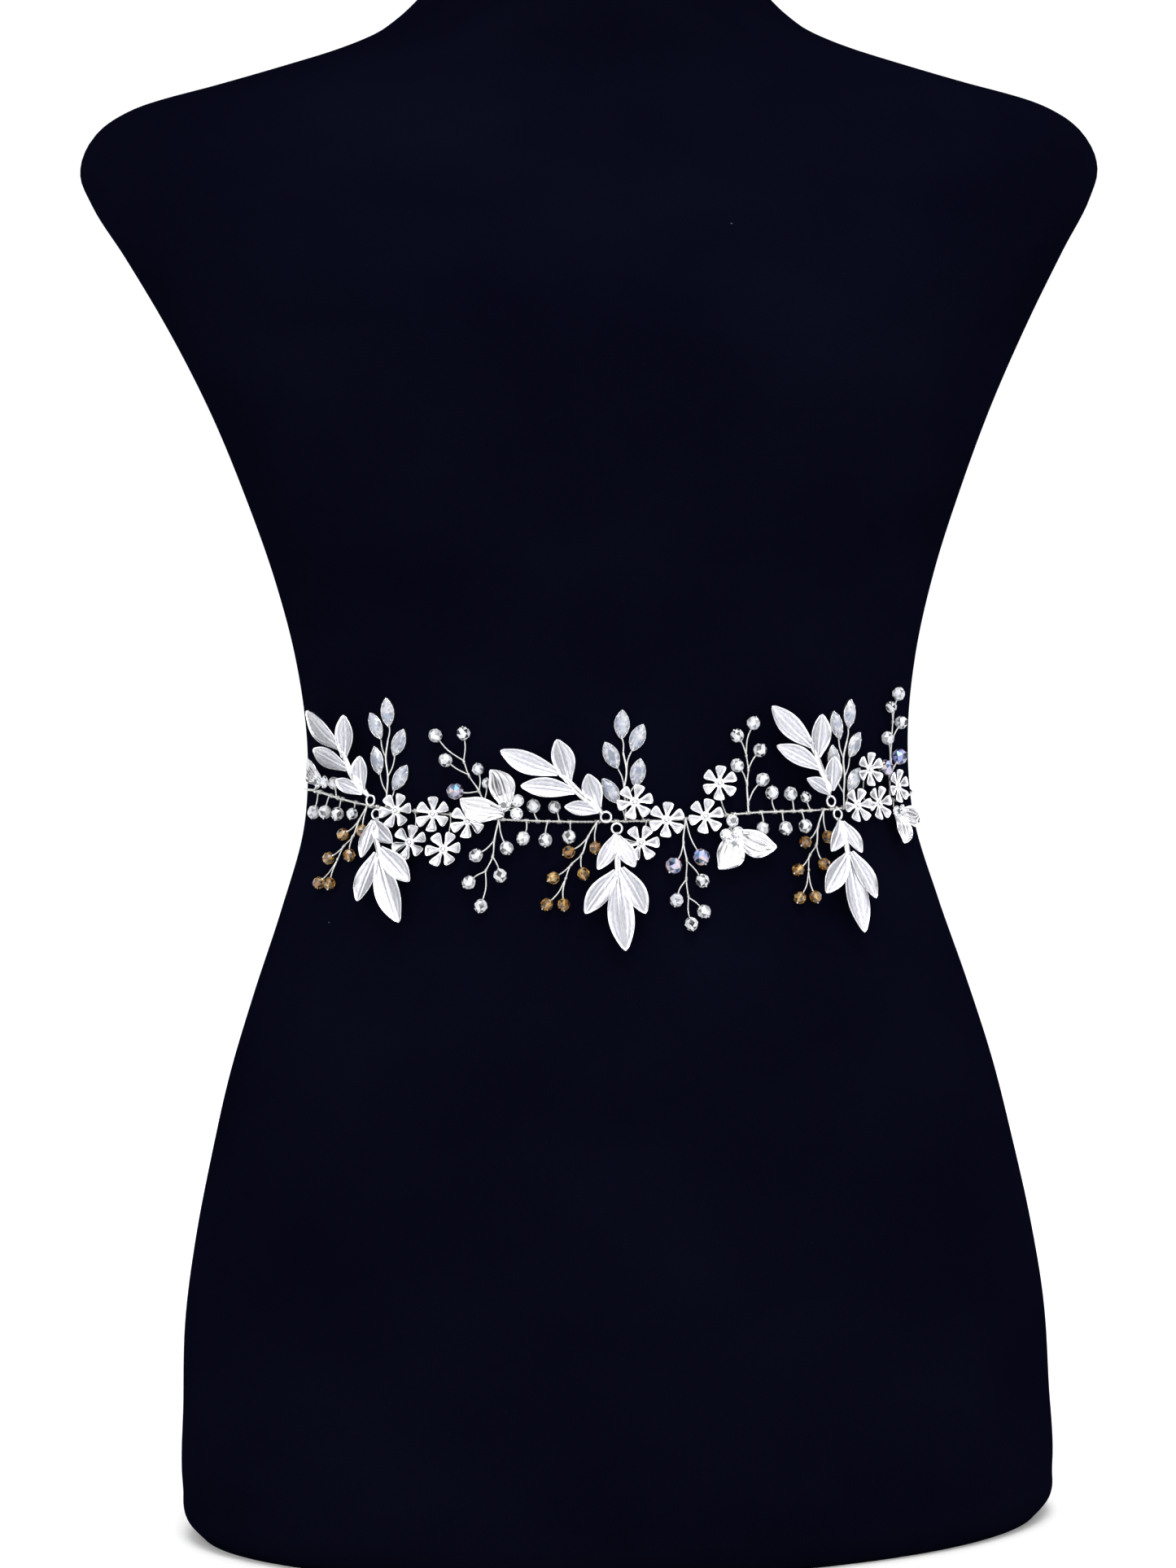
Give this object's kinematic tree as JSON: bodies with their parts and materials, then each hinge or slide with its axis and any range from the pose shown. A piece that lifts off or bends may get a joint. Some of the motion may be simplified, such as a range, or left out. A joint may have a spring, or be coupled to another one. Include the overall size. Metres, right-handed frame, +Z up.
{
  "type": "bridal sash on a limbless dress form",
  "caption": "Bridal sash of wired silver leaves, flowers and crystal sprigs round the waist of a black limbless dress form, tied with a satin ribbon at the back.",
  "frame": {"origin": "centre of the box at the form's flat base, on the surface it stands on", "axes": "+Z up, the form faces -Y, +X is to the viewer's right"},
  "size_m": [0.4278, 0.229, 0.69],
  "materials": {
    "form_cloth": "very dark navy, close-knitted matt cloth",
    "silver": "bright silver plate, softly brushed, on stamped leaves, flowers and twisted wire",
    "crystal": "clear faceted glass beads on silver wire",
    "aurora": "faceted glass beads with a pale violet sheen, on silver wire",
    "topaz": "faceted brown glass beads on silver wire",
    "opal": "milky pointed oval stones in silver settings",
    "satin": "ivory satin ribbon"
  },
  "bodies": {
    "root": {"dress_form": "form_cloth", "vine_wire": "silver", "leaf_spray_upper_left": "silver", "leaf_spray_upper_centre": "silver", "leaf_spray_upper_right": "silver", "leaf_spray_lower_left": "silver", "leaf_spray_lower_centre": "silver", "leaf_spray_lower_right": "silver", "flower_left_1": "silver", "flower_left_2": "silver", "flower_left_3": "silver", "flower_left_4": "silver", "flower_left_5": "silver", "flower_centre_1": "silver", "flower_centre_2": "silver", "flower_centre_3": "silver", "flower_centre_4": "silver", "flower_centre_5": "silver", "flower_right_1": "silver", "flower_right_2": "silver", "flower_right_3": "silver", "flower_right_4": "silver", "leaf_cluster_side_left": "silver", "leaf_cluster_left": "silver", "leaf_cluster_right": "silver", "leaf_cluster_side_right": "silver", "bead_row_left": "crystal", "bead_row_centre": "crystal", "bead_row_right": "crystal", "crystal_sprig_up_left": "crystal", "crystal_sprig_down_left": "crystal", "crystal_sprig_up_right": "crystal", "crystal_sprig_up_side": "crystal", "aurora_sprig_down": "aurora", "topaz_sprig_left": "topaz", "topaz_sprig_centre": "topaz", "topaz_sprig_right": "topaz", "opal_sprig_left": "opal", "opal_sprig_centre": "opal", "opal_sprig_right": "opal", "ribbon_band_left": "satin", "ribbon_band_right": "satin", "ribbon_knot": "satin", "ribbon_tail_left": "satin", "ribbon_tail_right": "satin"}
  },
  "joints": []
}
